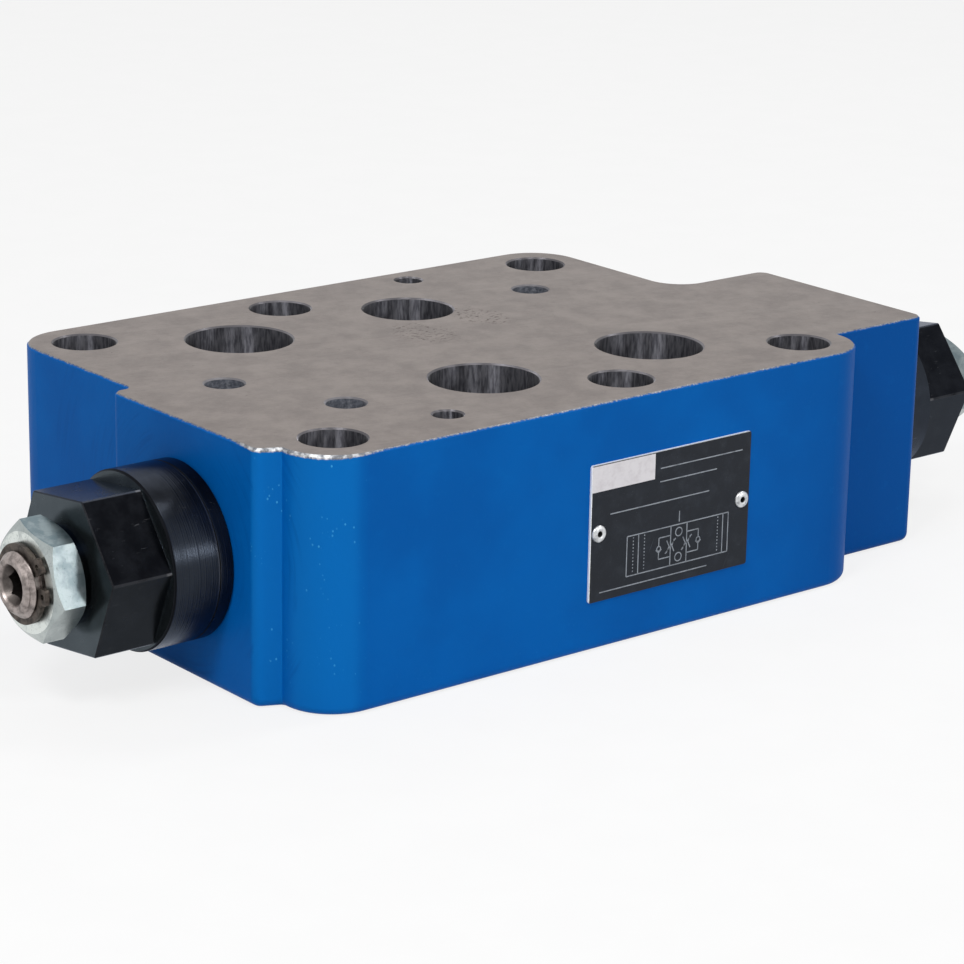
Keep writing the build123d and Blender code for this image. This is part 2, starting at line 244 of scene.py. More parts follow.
def ringFaces(count, rings):        # quads between rings of so many points each
    faces = []
    for ring in range(rings - 1):
        for index in range(count):
            after = (index + 1) % count
            first = ring * count
            second = first + count
            faces.append((first + index, first + after, second + after, second + index))
    return faces


def cleanMesh(piece):        # joins points that meet, drops what has no area and turns faces outward
    work = bmesh.new()
    work.from_mesh(piece.data)
    bmesh.ops.remove_doubles(work, verts=work.verts, dist=1e-7)
    bmesh.ops.dissolve_degenerate(work, edges=work.edges, dist=1e-8)
    bmesh.ops.recalc_face_normals(work, faces=work.faces)
    work.to_mesh(piece.data)
    work.free()


# Housing: satin enamel, ground faces, machined holes. In all looks, lengths are in mm and scales per mm

housingLook = {
    "paintDensity": 1.12,      # refractive index, low for a satin skin that hardly mirrors
    "paint": linear(0, 94, 174),
    "paintDeep": linear(0, 87, 165),
    "paintDarkLinesAndShade": linear(0, 76, 150),
    "paintPaleAndHighlight": linear(8, 108, 186),
    "paintRough": 0.42,
    "skinDepth": 0.12,         # depth of the bumps in paint and ground face
    "shade": (35.0, 85.0),     # painted shade: the paint darkens towards the right end between these, along X
    "turnedScale": 1.1,        # lines of the end faces' turning, under the paint
    "glint": linear(70, 170, 222),
    "glintScale": 0.85,
    "ground": linear(123, 114, 109),
    "groundDark": linear(103, 94, 90),
    "groundPale": linear(148, 140, 135),
    "pit": linear(66, 58, 54),
    "grindAngle": -13.0,       # degrees from +X
    "grindScales": (0.03, 1.6),                # along and across the fine lines
    "longGrindScales": (0.012, 0.22),
    "mottleScale": 0.11,
    "wall": linear(112, 112, 118),
    "wallDark": linear(66, 66, 72),
    "wallRough": 0.44,
    "wallDepth": 0.035,
    "pilotWall": linear(112, 116, 126),
    "pilotWallDark": linear(66, 70, 80),
    "pilotPlaces": ((-59.5, 0.05), (-47.6, -26.95), (47.6, 27.05)),
    "pilotReach": 5.0,
    "rim": linear(116, 114, 118),
    "edgeGrey": linear(128, 130, 134),
    "edgeDark": linear(98, 101, 108),
    "edgeHighlight": linear(226, 228, 230),
    "holeRim": (0.45, 0.3),    # the break at a hole's mouth, below the upper face
    "bareBand": 0.36,          # chipped paint below the upper face
    "cornerBand": 0.6,         # and more of it at the front left corner
    "cornerInset": 8.0,        # where that corner's worn patch and its painted highlight lie, and how far they spread
    "cornerSpread": (18.0, 14.0),
    "earHalf": 77.6,           # half lengths and corner radii of the plan
    "earRadius": 12.0,
    "endMiddleY": -18.55,
    "endHalfY": 27.25,
    "endRadius": 2.8,
    "holesFrom": 3.0,          # deeper inside the plan than this, a wall is a hole's
    "pitPlaces": ((21.5, 14.0, 7.0, 11.0), (1.0, 9.0, 8.0, 11.0)),        # x, y and half sizes
}


def planDepth(g):        # distance inward from the plan's outline
    look = housingLook

    def roundedBox(midX, midY, halfX, halfY, radius):
        acrossX = abs(g.x - midX) - (halfX - radius)
        acrossY = abs(g.y - midY) - (halfY - radius)
        outside = (acrossX.atLeast(0.0) ** 2.0 + acrossY.atLeast(0.0) ** 2.0) ** 0.5
        return outside + acrossX.atLeast(acrossY).atMost(0.0) - radius

    endMiddle = (housingLow.x + housingHigh.x) / 2 / mm
    endHalf = (housingHigh.x - housingLow.x) / 2 / mm
    block = roundedBox(0.0, 0.0, look["earHalf"], housingHigh.y / mm, look["earRadius"])
    ends = roundedBox(endMiddle, look["endMiddleY"], endHalf, look["endHalfY"], look["endRadius"])
    return -block.atMost(ends)


# Slightly uneven paint, with turned lines on the end faces, painted shade towards the right end, and painted
# highlights on the rounded corners: a paler tone and bright specks
def enamel(g, broad):
    look = housingLook
    paint = g.blend(g.step(broad, 0.38, 0.66), look["paint"], look["paintDeep"])
    # painted shade: the paint darkens towards the right end, along X
    paint = g.blend(g.step(g.x, *look["shade"]), paint, look["paintDarkLinesAndShade"])
    # painted highlight: the rounded front left and back right corners turn paler
    corner = g.step(g.nx * g.ny, 0.02, 0.3)
    paint = g.blend(corner * 0.75, paint, look["paintPaleAndHighlight"])
    rings = g.noise(g.vector(g.fromAxis() * look["turnedScale"], g.y * 0.06, g.z * 0.06), 1.0, 2.0)
    patches = g.step(g.noise(g.point, 0.08, 2.0), 0.4, 0.6)
    faced = g.step(rings, 0.45, 0.7) * patches * g.step(abs(g.nx), 0.9, 0.97)
    paint = g.blend(faced * 0.35, paint, look["paintDarkLinesAndShade"])
    paint = g.blend(g.step(g.noise(g.point, 0.35, 4.0), 0.55, 0.85) * 0.2, paint, look["paintPaleAndHighlight"])
    # painted highlight: small bright cyan specks over little paint lumps, most on the rounded corners
    specks = g.cells(g.scaled(g.point, (1.0, 1.0, 0.75)), look["glintScale"])
    where = g.step(g.noise(g.point, 0.14, 2.0), 0.54, 0.66)
    glints = (1 - g.step(specks, 0.1, 0.22)) * where * (0.05 + corner * 0.85)
    return g.blend(glints * 0.8, paint, look["glint"]), glints


def groundFace(g):        # fine brushed lines, mottling and a few open pores
    look = housingLook
    turn = math.radians(look["grindAngle"])
    along = g.x * math.cos(turn) + g.y * math.sin(turn)
    across = g.y * math.cos(turn) - g.x * math.sin(turn)

    def brushed(scales, detail):
        return g.noise(g.vector(along * scales[0], across * scales[1], g.z * 0.1), 1.0, detail, 0.6)

    lines = brushed(look["grindScales"], 4.0)
    longLines = brushed(look["longGrindScales"], 3.0)
    mottle = g.noise(g.point, look["mottleScale"], 5.0, 0.65)
    ground = g.blend(g.step(mottle, 0.3, 0.7), look["groundDark"], look["ground"])
    ground = g.blend(g.step(longLines, 0.5, 0.8) * 0.2, ground, look["groundPale"])
    ground = g.blend(g.step(lines, 0.5, 0.8) * 0.25, ground, look["groundPale"])
    where = 0.0
    for midX, midY, halfX, halfY in look["pitPlaces"]:
        spread = ((g.x - midX) / halfX) ** 2.0 + ((g.y - midY) / halfY) ** 2.0
        where = (1 - g.step(spread, 0.3, 1.0)).atLeast(where)
    shape = g.noise(g.scaled(g.point, (0.7, 1.5, 1.0)), 1.0, 3.0, 0.6)
    pits = g.step(shape, 0.56, 0.64) * (where * 0.75 + 0.06)
    stray = g.step(g.noise(g.scaled(g.point, (0.45, 1.3, 1.0)), 1.0, 2.0, 0.5), 0.74, 0.78) * 0.5
    pits = pits.atLeast(stray)
    return g.blend(pits, ground, look["pit"]), lines, pits


def housingFinish():
    look = housingLook
    g = Finish("enamelledCasting")
    top = housingHigh.z / mm
    fine = g.noise(g.point, 3.2, 2.0)
    grain = g.noise(g.point, 1.3, 3.0)
    broad = g.noise(g.point, 0.035, 3.0)
    inner = g.step(planDepth(g), look["holesFrom"], look["holesFrom"] + 0.4)
    flat = g.step(abs(g.nz), 0.9, 0.97)
    paint, glints = enamel(g, broad)
    ground, lines, pits = groundFace(g)

    # walls of the ports and bolt holes, whose bored rings draw reflections out along the hole
    streaks = g.noise(g.scaled(g.point, (1.6, 1.6, 0.3)), 1.0, 3.0)
    walls = g.blend(g.step(streaks, 0.3, 0.7), look["wallDark"], look["wall"])
    pilot = 0.0
    for midX, midY in look["pilotPlaces"]:
        gap = ((g.x - midX) ** 2.0 + (g.y - midY) ** 2.0) ** 0.5
        pilot = (1 - g.step(gap, look["pilotReach"], look["pilotReach"] + 0.5)).atLeast(pilot)
    pilotWall = g.blend(g.step(grain + fine * 0.4, 0.5, 0.9), look["pilotWallDark"], look["pilotWall"])
    walls = g.blend(pilot, walls, pilotWall)
    rimLow, rimHigh = look["holeRim"]
    rim = g.step(g.z, top - rimLow, top - rimHigh)
    walls = g.blend(rim, walls, look["rim"])
    bored = g.shader(
        colour=walls,
        rough=look["wallRough"] + streaks * 0.1,
        metal=0.98 - pilot * 0.9,
        drawn=1.0,
        turn=0.25,
        normal=g.bump(fine + grain * 0.6, look["wallDepth"], 0.6),
    )

    # chipped edge under the ground face, widest at the front left corner, where a painted highlight
    # brightens the worn metal
    spreadX, spreadY = look["cornerSpread"]
    cornerX = (g.x + look["earHalf"]) / spreadX
    cornerY = (g.y - housingLow.y / mm - look["cornerInset"]) / spreadY
    near = 1 - g.step((cornerX ** 2.0 + cornerY ** 2.0) ** 0.5, 0.4, 1.2)
    reach = look["bareBand"] + near * look["cornerBand"]
    chipped = g.step(g.z + (grain - 0.5) * 0.5 + (fine - 0.5) * 0.3 - top + reach, 0.0, 0.3)
    worn = g.step(g.noise(g.point, 0.7, 3.0), 0.42, 0.68) * near
    edge = g.blend(g.step(grain, 0.3, 0.7), look["edgeDark"], look["edgeGrey"])
    # painted highlight: near-white patches on the worn corner and a few specks along the edge
    edge = g.blend(worn.atLeast(g.step(fine, 0.5, 0.7) * 0.2), edge, look["edgeHighlight"])

    colour = g.blend(chipped, paint, edge)
    colour = g.blend(flat, colour, ground)
    metal = (chipped * 0.7).atLeast(flat * 0.95)
    rough = look["paintRough"] + grain * 0.08 - chipped * 0.1 - glints * 0.1
    rough = rough + pits * flat * 0.3 + lines * flat * 0.1
    skin = (g.noise(g.point, 0.9, 2.0) * 0.4 + glints * 0.6) * (1 - flat)
    height = skin + lines * flat * 0.2 + fine * chipped * 0.3 - pits * flat * 1.0
    outer = g.shader(
        colour=colour,
        rough=rough,
        metal=metal,
        density=look["paintDensity"],
        normal=g.bump(height, look["skinDepth"], 0.6),
    )
    return g.wear(g.node("ShaderNodeMixShader", None, {0: inner * (1 - flat), 1: outer, 2: bored}))


# End plugs: turned and milled steel with a black oxide skin, and painted light, shade and reflection by how
# each face is turned

oxideLook = {
    "skin": linear(13, 13, 15),
    "skinPale": linear(25, 26, 29),
    "skinSkyReflection": linear(10, 22, 38),
    "skinFlange": linear(48, 53, 61),
    "skinFaceLit": linear(80, 88, 91),            # painted light: the hexagon's outer face, lighter
    "skinDownLit": linear(44, 48, 51),            # painted light: its flats that face down, lighter
    "mirrorTint": linear(222, 228, 240),
    "rough": 0.22,
    "depth": 0.04,
    "grooveScale": 3.0,
    "lineAt": 3.5,             # the flange's turned line, from the end face
    "bright": linear(200, 201, 206),
    "edgeGrey": linear(112, 115, 122),
    "hexCorner": 18.475,       # radius to the hexagon's corners
    "edgeWidth": 0.22,
    "hexBack": 15.6,           # the hexagon's back edges lie within this distance of the end face
}


def oxideFinish():
    look = oxideLook
    g = Finish("blackOxide")
    radius = g.fromAxis()
    away = g.beyondEnd()
    cloud = g.noise(g.point, 0.22, 4.0, 0.6)
    grain = g.noise(g.point, 4.0, 2.0)
    grooveScale = look["grooveScale"]
    turned = g.noise(g.vector(radius * grooveScale, g.x * grooveScale, 0.0), 1.0, 2.0)
    hairs = g.noise(g.scaled(g.point, (0.3, 2.2, 6.0)), 1.0, 2.0)
    scratches = g.step(hairs, 0.68, 0.74) * g.step(g.noise(g.point, 0.3, 2.0), 0.5, 0.62)
    onEnd = g.step(abs(g.nx), 0.9, 0.96)
    onHex = 1 - g.step(radius, look["hexCorner"] + 0.03, look["hexCorner"] + 0.1)
    slant = g.step(abs(g.nx), 0.25, 0.45) * (1 - onEnd) * onHex
    nearCorner = g.step(radius, look["hexCorner"] - look["edgeWidth"], look["hexCorner"] - 0.08)
    corner = nearCorner * onHex * (1 - onEnd)
    backEdge = 1 - g.step(away, look["hexBack"], look["hexBack"] + 0.4)
    ragged = g.step(grain * 0.5 + cloud * 0.5, 0.3, 0.5)
    rubbed = (slant * (0.1 + backEdge * 0.9)).atLeast(corner * 0.2) * ragged
    onFlange = g.step(radius, look["hexCorner"] + 0.12, look["hexCorner"] + 0.3)
    turnedLine = (1 - g.step(abs(away - look["lineAt"]), 0.2, 0.45)) * onFlange
    flangeEdge = g.step(abs(g.nx), 0.3, 0.5) * onFlange
    colour = g.blend(g.step(cloud, 0.35, 0.7), look["skin"], look["skinPale"])
    # painted reflection: the hexagon's upward flats take a bluish sky tint
    colour = g.blend(g.step(g.nz, 0.5, 0.95) * (1 - onEnd) * onHex * 0.7, colour, look["skinSkyReflection"])
    # painted light: flats that face down turn lighter
    downwardLight = g.step(-g.nz, 0.2, 0.5) * (1 - onEnd) * onHex
    colour = g.blend(downwardLight * 0.6, colour, look["skinDownLit"])
    # painted light: the end faces turn lighter, mottled by the cloud
    colour = g.blend(onEnd * (0.5 + cloud * 0.5), colour, look["skinFaceLit"])
    # painted shade: the flange's paler tone is held back on its upper side, so the top stays darker
    flangeTopShade = g.step(g.nz, 0.45, 0.9)
    colour = g.blend(onFlange * (0.6 + cloud * 0.4 - flangeTopShade * 0.55), colour, look["skinFlange"])
    colour = g.blend(scratches * 0.1, colour, look["bright"])
    colour = g.blend(turnedLine * 0.35, colour, look["edgeGrey"])
    colour = g.blend(rubbed, colour, g.blend(backEdge, look["edgeGrey"], look["bright"]))
    colour = g.blend(flangeEdge * 0.9, colour, look["skin"])
    rough = look["rough"] + cloud * 0.08 + flangeEdge * 0.3
    height = turned * (0.3 + onFlange * 1.7) + grain * 0.2 - scratches * 0.4
    return g.surface(
        colour=colour,
        rough=rough,
        metal=0.9,
        specular=0.2,
        tint=look["mirrorTint"],
        normal=g.bump(height, look["depth"], 0.7),
    )


# Lock nuts: zinc plate, cloudy and a little stained, with painted reflection and light on the flats by their
# facing

zincLook = {
    "face": linear(222, 228, 224),
    "flat": linear(136, 146, 148),
    "flatDeep": linear(108, 120, 124),
    "dullAndReflection": linear(84, 100, 106),
    "dark": linear(52, 66, 72),
    "rough": 0.24,
    "depth": 0.05,
}


def zincFinish():
    look = zincLook
    g = Finish("brightZinc")
    cloud = g.noise(g.point, 0.22, 3.0, 0.6)
    grain = g.noise(g.point, 2.4, 3.0, 0.7)
    spots = g.step(g.noise(g.point, 1.3, 3.0), 0.62, 0.72)
    onEnd = g.step(abs(g.nx), 0.9, 0.97)
    slant = g.step(abs(g.nx), 0.15, 0.35) * (1 - onEnd)
    upward = g.step(g.nz, 0.45, 0.75) * (1 - onEnd)
    downwardLight = g.step(-g.nz, 0.2, 0.5) * (1 - onEnd)
    colour = g.blend(g.step(cloud, 0.4, 0.62), look["flat"], look["flatDeep"])
    # painted reflection: flats that face up turn a dull dark teal
    colour = g.blend(upward * (0.55 + g.step(cloud, 0.45, 0.6) * 0.4), colour, look["dullAndReflection"])
    # painted light: flats that face down turn paler
    colour = g.blend(downwardLight * 0.3, colour, look["face"])
    colour = g.blend(onEnd, colour, g.blend(g.step(cloud, 0.5, 0.64) * 0.5, look["face"], look["flat"]))
    colour = g.blend(slant * 0.35, colour, look["face"])
    colour = g.blend(g.step(grain, 0.52, 0.74) * 0.3, colour, look["dullAndReflection"])
    colour = g.blend(spots * 0.4, colour, look["dark"])
    rough = look["rough"] + grain * 0.14
    normal = g.bump(grain - spots * 0.4, look["depth"], 0.6)
    return g.surface(colour=colour, rough=rough, metal=0.95, normal=normal)


# Turned steel, phosphated springs and snap rings, and the rivets' metal

steelLook = {
    "face": linear(168, 158, 154),
    "faceDark": linear(112, 105, 102),
    "oilAndSocketShade": linear(60, 56, 54),
    "snapRing": linear(92, 84, 78),
    "snapRingDark": linear(52, 47, 44),
    "rivet": linear(214, 216, 218),
    "rivetDark": linear(150, 152, 156),
    "eye": linear(12, 12, 13),
    "rough": 0.3,
    "snapRingRough": 0.08,     # on top of that
    "rivetRough": 0.28,
    "depth": 0.025,
    "rivetDepth": 0.02,
    "grooveScale": 2.6,
}


def steelGrain(g, first, second, stain, shade):
    scale = steelLook["grooveScale"]
    turned = g.noise(g.vector(g.fromAxis() * scale, g.x * scale, 0.0), 1.0, 3.0)
    cloud = g.noise(g.point, 0.6, 4.0, 0.6)
    grain = g.noise(g.point, 4.5, 2.0)
    colour = g.blend(g.step(cloud, 0.35, 0.7), first, second)
    colour = g.blend(g.step(grain, 0.55, 0.75) * shade, colour, stain)
    rough = steelLook["rough"] + cloud * 0.14 + grain * 0.06
    return colour, rough, g.bump(turned + grain * 0.5, steelLook["depth"], 0.5)


def turnedSteel():
    look = steelLook
    g = Finish("turnedSteel")
    colour, rough, normal = steelGrain(g, look["face"], look["faceDark"], look["oilAndSocketShade"], 0.2)
    return g.surface(colour=colour, rough=rough, metal=0.95, normal=normal)


def phosphatedSteel():
    look = steelLook
    g = Finish("phosphatedSteel")
    colour, rough, normal = steelGrain(g, look["snapRing"], look["snapRingDark"], look["oilAndSocketShade"], 0.4)
    return g.surface(colour=colour, rough=rough + look["snapRingRough"], metal=0.9, normal=normal)


rivetLook = {
    "headRadius": 1.9,
    "shankRadius": 1.2,
    "shankLength": 5.0,        # below the plate
    "plateThickness": 0.5,
    "eyeRadius": 0.62,
    "eyeDepth": 0.9,
    "domeHeight": 0.7,
    "rimHeight": 0.18,
    "domePower": 2.4,
    "lipStart": 0.72,          # the dome sinks to this share of its height at the eye
    "lipRise": 1.6,
    "domeSteps": 10,
    "segments": 48,
    "sharpFrom": 40.0,
}


def rivetMetal():
    look = steelLook
    g = Finish("rivetMetal")
    cloud = g.noise(g.point, 0.9, 3.0, 0.6)
    grain = g.noise(g.point, 5.0, 2.0)
    low, high = (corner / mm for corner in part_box("nameplate_rivets"))
    fromEnd = (g.x - low.x).atMost(high.x - g.x) - rivetLook["headRadius"]
    radius = (fromEnd ** 2.0 + (g.z - (low.z + high.z) / 2) ** 2.0) ** 0.5
    # painted shade: the hollow eye of each rivet head is coloured near black and less metallic
    eye = 1 - g.step(radius, rivetLook["eyeRadius"] - 0.02, rivetLook["eyeRadius"] + 0.1)
    colour = g.blend(g.step(cloud, 0.4, 0.75), look["rivet"], look["rivetDark"])
    colour = g.blend(eye, colour, look["eye"])
    rough = look["rivetRough"] + grain * 0.14
    normal = g.bump(grain, look["rivetDepth"], 0.4)
    return g.surface(colour=colour, rough=rough, metal=0.95 - eye * 0.8, specular=0.2, normal=normal)


# Seal rings

rubberLook = {
    "black": linear(22, 22, 23),
    "grey": linear(46, 46, 47),
    "rough": 0.55,
    "depth": 0.03,
}


def rubberFinish():
    look = rubberLook
    g = Finish("sealRubber")
    cloud = g.noise(g.point, 0.5, 4.0)
    grain = g.noise(g.point, 5.0, 2.0)
    colour = g.blend(g.step(cloud, 0.4, 0.7), look["black"], look["grey"])
    rough = look["rough"] + grain * 0.2
    return g.surface(colour=colour, rough=rough, normal=g.bump(grain, look["depth"], 0.5))


# Nameplate and its print

plateLook = {
    "black": linear(30, 34, 41),
    "worn": linear(56, 61, 69),
    "bareEdge": linear(244, 246, 249),
    "hair": linear(120, 128, 138),
    "printWhite": linear(222, 219, 222),
    "printDirt": linear(196, 190, 194),
    "printGrey": linear(150, 156, 164),
    "edge": 0.3,               # bare metal at the left of the printed face, half as much on top
    "hairAngle": 64.0,         # degrees from +X
    "hairScales": (0.06, 2.4),
    "rough": 0.4,
    "depth": 0.02,
    "printRough": 0.45,
    "printDepth": 0.01,
}


def plateFinish():
    look = plateLook
    g = Finish("blackSheet")
    cloud = g.noise(g.point, 0.25, 4.0, 0.6)
    grain = g.noise(g.point, 3.5, 3.0)
    turn = math.radians(look["hairAngle"])
    along = g.x * math.cos(turn) + g.z * math.sin(turn)
    across = g.z * math.cos(turn) - g.x * math.sin(turn)
    alongScale, acrossScale = look["hairScales"]
    hairs = g.noise(g.vector(along * alongScale, across * acrossScale, 0.0), 1.0, 2.0)
    hairs = g.step(hairs, 0.7, 0.76)
    low, high = plateLow / mm, plateHigh / mm
    ragged = (grain - 0.5) * 0.15
    side = 1 - g.step(abs(g.ny), 0.5, 0.8)
    leftRim = 1 - g.step(g.x - low.x + ragged, look["edge"] * 0.6, look["edge"])
    topRim = 1 - g.step(high.z - g.z + ragged, look["edge"] * 0.3, look["edge"] * 0.6)
    colour = g.blend(g.step(cloud, 0.45, 0.75) * 0.35, look["black"], look["worn"])
    colour = g.blend(hairs * 0.3, colour, look["hair"])
    colour = g.blend(g.step(grain, 0.66, 0.76) * 0.2, colour, look["hair"])
    bareSheet = side.atLeast(leftRim).atLeast(topRim * 0.5)
    colour = g.blend(bareSheet, colour, look["bareEdge"])
    rough = look["rough"] + cloud * 0.2
    normal = g.bump(grain - hairs, look["depth"], 0.4)
    return g.surface(colour=colour, rough=rough, metal=bareSheet * 0.2, specular=0.15, normal=normal)


def printFinish(name, clean, dirty):
    g = Finish(name)
    cloud = g.noise(g.point, 0.6, 4.0, 0.6)
    grain = g.noise(g.point, 5.0, 2.0)
    colour = g.blend(g.step(cloud, 0.4, 0.8) * 0.6, clean, dirty)
    rough = plateLook["printRough"] + grain * 0.15
    normal = g.bump(grain, plateLook["printDepth"], 0.4)
    return g.surface(colour=colour, rough=rough, specular=0.2, normal=normal)


finishes = {
    "painted_casting": housingFinish(),
    "black_oxide_steel": oxideFinish(),
    "zinc_plated_steel": zincFinish(),
    "bare_steel": turnedSteel(),
    "spring_steel": phosphatedSteel(),
    "seal_rubber": rubberFinish(),
    "nameplate_black": plateFinish(),
    "rivet_metal": rivetMetal(),
}
for subpart in frame["record"]["subparts"]:
    mesh = frame["nodes"][subpart["node"]].data
    mesh.materials.clear()
    mesh.materials.append(finishes[subpart["material_slot"]])
print("finishes")


# Setting screws with their cut thread and hexagon socket

screwLook = {        # mm and degrees, depths from the tip
    "radius": 6.98,
    "pitch": 1.5,
    "threadDepth": 0.92,
    "rootShare": 0.12,         # of half a pitch, for the thread's root and then its flank
    "flankShare": 0.68,
    "tipBreak": 1.5,
    "groove": (1.85, 2.95),    # the snap ring's
    "grooveRadius": 6.5,
    "pistonStart": 36.2,
    "pistonEnd": 45.2,
    "pistonRadius": 8.55,
    "sealGroove": (39.5, 41.9),
    "sealGrooveRadius": 6.95,
    "socketAcross": 6.0,
    "socketMouth": 4.4,
    "mouthSteepness": 1.5,
    "socketDepth": 9.0,
    "socketPoint": 1.2,        # the drill's point below the socket's floor
    "socketClock": {"left": 48.0, "right": 20.0},
    "segments": 96,
    "stepsPerTurn": 10,
    "sharpFrom": 28.0,
}


def screwSteel():        # as turned steel, with painted shade darkening the hexagon socket
    look = steelLook
    g = Finish("screwSteel")
    colour, rough, normal = steelGrain(g, look["face"], look["faceDark"], look["oilAndSocketShade"], 0.2)
    mouth = screwLook["socketMouth"]
    # painted shade: the socket darkens to the oil colour, with a ragged rim
    socketShade = 1 - g.step(g.fromAxis() + (g.noise(g.point, 1.2, 2.0) - 0.5) * 0.3, mouth - 0.45, mouth - 0.1)
    colour = g.blend(socketShade * 0.8, colour, look["oilAndSocketShade"])
    return g.surface(colour=colour, rough=rough, metal=0.95, normal=normal)


def threadRadius(depth, angle):
    look = screwLook
    turn = (depth / look["pitch"] + angle / (2 * math.pi)) % 1.0
    rise = min(max((abs(turn - 0.5) * 2 - look["rootShare"]) / look["flankShare"], 0.0), 1.0)
    radius = look["radius"] - look["threadDepth"] * (1 - rise)
    return min(radius, look["radius"] - look["tipBreak"] + depth)


def screwPiece(side):
    look = screwLook
    count = look["segments"]
    angles = [2 * math.pi * index / count for index in range(count)]
    rings = []

    def addRing(depth, radiusAt):
        rings.append([onAxis(side, radiusAt(angle), angle, depth) for angle in angles])

    clock = math.radians(look["socketClock"][side])

    def hexRadius(angle):
        part = (angle - clock) % (math.pi / 3)
        return look["socketAcross"] / 2 / math.cos(part - math.pi / 6)

    # socket, from its floor to its mouth
    floor = look["socketDepth"]
    rings.append([onAxis(side, hexRadius(angle), angle, floor) for angle in angles])
    mouth = [(look["socketMouth"] - hexRadius(angle)) * look["mouthSteepness"] for angle in angles]
    rings.append([onAxis(side, hexRadius(angle), angle, depth) for angle, depth in zip(angles, mouth)])
    addRing(0.0, lambda angle: look["socketMouth"])
    addRing(0.0, lambda angle: look["radius"] - look["tipBreak"])
    # threaded length, with the groove
    step = look["pitch"] / look["stepsPerTurn"]
    depth = step
    grooveStart, grooveEnd = look["groove"]
    grooveDone = False
    while depth < look["pistonStart"]:
        if grooveStart <= depth <= grooveEnd:
            if not grooveDone:
                addRing(grooveStart, lambda angle: threadRadius(grooveStart, angle))
                addRing(grooveStart, lambda angle: look["grooveRadius"])
                addRing(grooveEnd, lambda angle: look["grooveRadius"])
                addRing(grooveEnd, lambda angle: threadRadius(grooveEnd, angle))
                grooveDone = True
        else:
            addRing(depth, lambda angle: threadRadius(depth, angle))
        depth += step
    # piston with its seal groove
    low, high = look["sealGroove"]
    for place, radius in (
        (look["pistonStart"], look["radius"] - look["threadDepth"]),
        (look["pistonStart"], look["pistonRadius"]),
        (low, look["pistonRadius"]),
        (low, look["sealGrooveRadius"]),
        (high, look["sealGrooveRadius"]),
        (high, look["pistonRadius"]),
        (look["pistonEnd"], look["pistonRadius"]),
    ):
        addRing(place, lambda angle, r=radius: r)
    points = [point for ring in rings for point in ring]
    faces = ringFaces(count, len(rings))
    points.append(onAxis(side, 0.0, 0.0, floor + look["socketPoint"]))
    points.append(onAxis(side, 0.0, 0.0, look["pistonEnd"]))
    last = (len(rings) - 1) * count
    for index in range(count):
        after = (index + 1) % count
        faces.append((after, index, len(points) - 2))
        faces.append((last + index, last + after, len(points) - 1))
    piece = addPiece(side + "_threaded_screw", points, faces, screwMaterial, side + "_screw")
    piece.data.set_sharp_from_angle(angle=math.radians(look["sharpFrom"]))
    cleanMesh(piece)
    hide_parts(side + "_setting_screw")


screwMaterial = screwSteel()
for side in sides:
    screwPiece(side)
print("setting screws")


# Rivets with domed, hollow heads

def rivetPiece():
    look = rivetLook
    low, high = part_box("nameplate_rivets")
    head = look["headRadius"]
    top = look["domeHeight"]
    profile = [(0.0, top - look["eyeDepth"]), (look["eyeRadius"], top - look["eyeDepth"])]
    for index in range(look["domeSteps"] + 1):
        part = index / look["domeSteps"]
        radius = look["eyeRadius"] + (head - look["eyeRadius"]) * part
        lift = math.sqrt(max(0.0, 1 - part ** look["domePower"]))
        lip = min(1.0, look["lipStart"] + look["lipRise"] * part)
        profile.append((radius, (look["rimHeight"] + (top - look["rimHeight"]) * lift) * lip))
    end = -look["shankLength"] - look["plateThickness"]
    profile += [(head, 0.0), (look["shankRadius"], 0.0), (look["shankRadius"], end), (0.0, end)]
    count = look["segments"]
    points = []
    faces = []
    plateFace = plateLow.y / mm
    middleZ = (low.z + high.z) / 2 / mm
    for middleX in (low.x / mm + head, high.x / mm - head):
        start = len(points)
        for radius, height in profile:
            for index in range(count):
                angle = 2 * math.pi * index / count
                x = middleX + radius * math.cos(angle)
                z = middleZ + radius * math.sin(angle)
                points.append((x * mm, (plateFace - height) * mm, z * mm))
        faces += [tuple(start + corner for corner in face) for face in ringFaces(count, len(profile))]
    piece = addPiece("plate_rivet_heads", points, faces, finishes["rivet_metal"], "housing")
    cleanMesh(piece)
    piece.data.set_sharp_from_angle(angle=math.radians(look["sharpFrom"]))
    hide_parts("nameplate_rivets")


rivetPiece()
print("rivets")


# Spool springs, swept as coils of wire

springLook = {        # mm
    "wireRadius": 0.8,
    "coilRadius": 6.2,
    "turns": 7,
    "stepsPerTurn": 24,
    "wireSides": 12,
}


